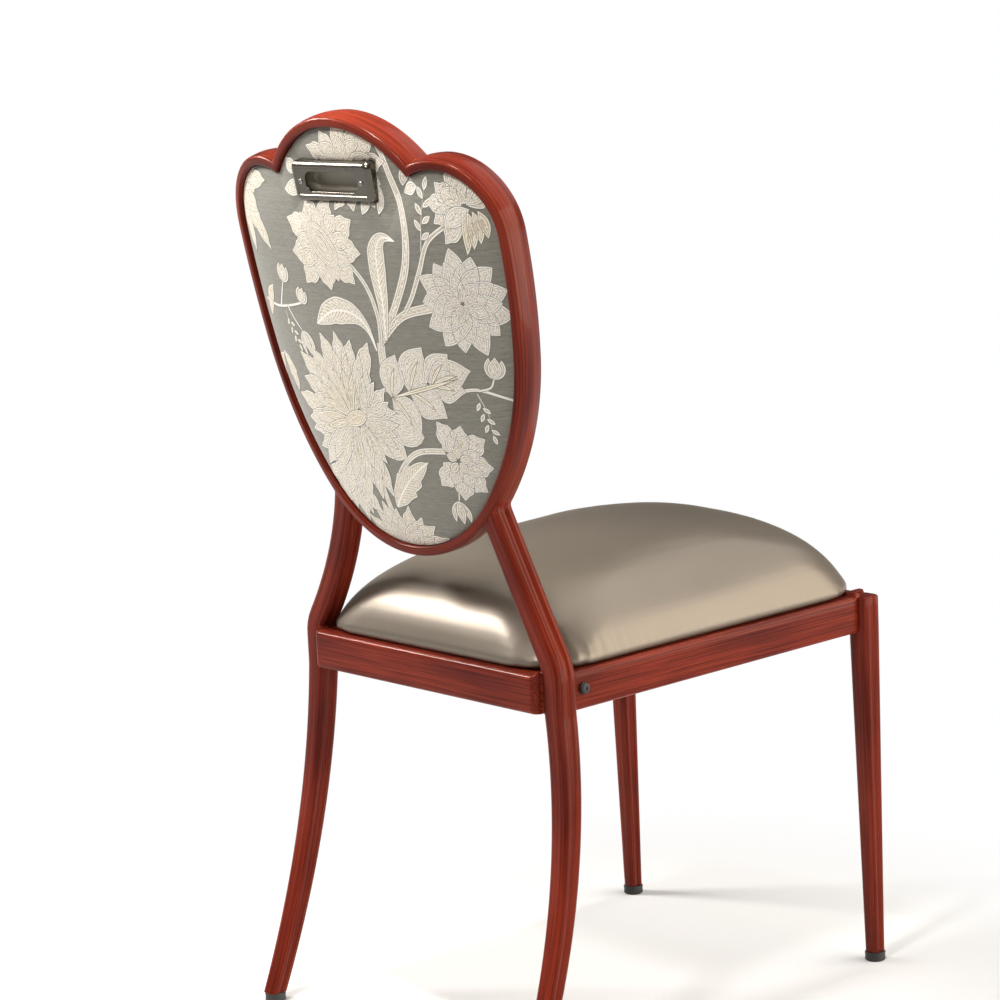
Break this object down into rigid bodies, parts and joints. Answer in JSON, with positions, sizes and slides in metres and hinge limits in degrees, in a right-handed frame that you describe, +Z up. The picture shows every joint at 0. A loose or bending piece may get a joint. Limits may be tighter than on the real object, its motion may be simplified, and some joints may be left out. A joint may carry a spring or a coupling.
{
  "type": "upholstered dining chair",
  "caption": "Upholstered dining chair with a trefoil hoop back on leaning fluted posts, sabre rear legs, tapered front legs, a domed seat cushion and a pull handle set in the rear of the back.",
  "frame": {"origin": "centre of the bounding box on the floor, between the four feet", "axes": "+Z up, +Y towards the rear of the chair, +X towards the sitter's left"},
  "size_m": [0.443, 0.5758, 0.9756],
  "materials": {
    "mahogany_frame": "gloss red mahogany grain coating on metal tube",
    "floral_jacquard": "woven grey-green jacquard with cream floral motifs",
    "seat_satin": "smooth champagne satin cloth with a broad sheen",
    "plywood": "raw plywood",
    "dust_cloth": "black lining cloth",
    "nickel": "dark polished nickel plate",
    "screw_steel": "plated steel screws",
    "rubber": "matt black rubber"
  },
  "bodies": {
    "root": {"back_hoop": "mahogany_frame", "rear_leg_left": "mahogany_frame", "rear_leg_right": "mahogany_frame", "front_leg_left": "mahogany_frame", "front_leg_right": "mahogany_frame", "rear_rail": "mahogany_frame", "front_rail": "mahogany_frame", "side_rail_left": "mahogany_frame", "side_rail_right": "mahogany_frame", "corner_gusset_rear_left": "mahogany_frame", "corner_gusset_rear_right": "mahogany_frame", "corner_gusset_front_left": "mahogany_frame", "corner_gusset_front_right": "mahogany_frame", "back_pad_rear": "floral_jacquard", "back_board": "plywood", "back_pad_front": "seat_satin", "seat_cushion": "seat_satin", "seat_board": "plywood", "dust_cover": "dust_cloth", "handle_plate": "nickel", "handle_screw_left": "screw_steel", "handle_screw_right": "screw_steel", "seat_screw_rear_left": "screw_steel", "seat_screw_rear_right": "screw_steel", "seat_screw_front_left": "screw_steel", "seat_screw_front_right": "screw_steel", "foot_glide_rear_left": "rubber", "foot_glide_rear_right": "rubber", "foot_glide_front_left": "rubber", "foot_glide_front_right": "rubber", "stacking_bumper_left": "rubber", "stacking_bumper_right": "rubber"}
  },
  "joints": []
}
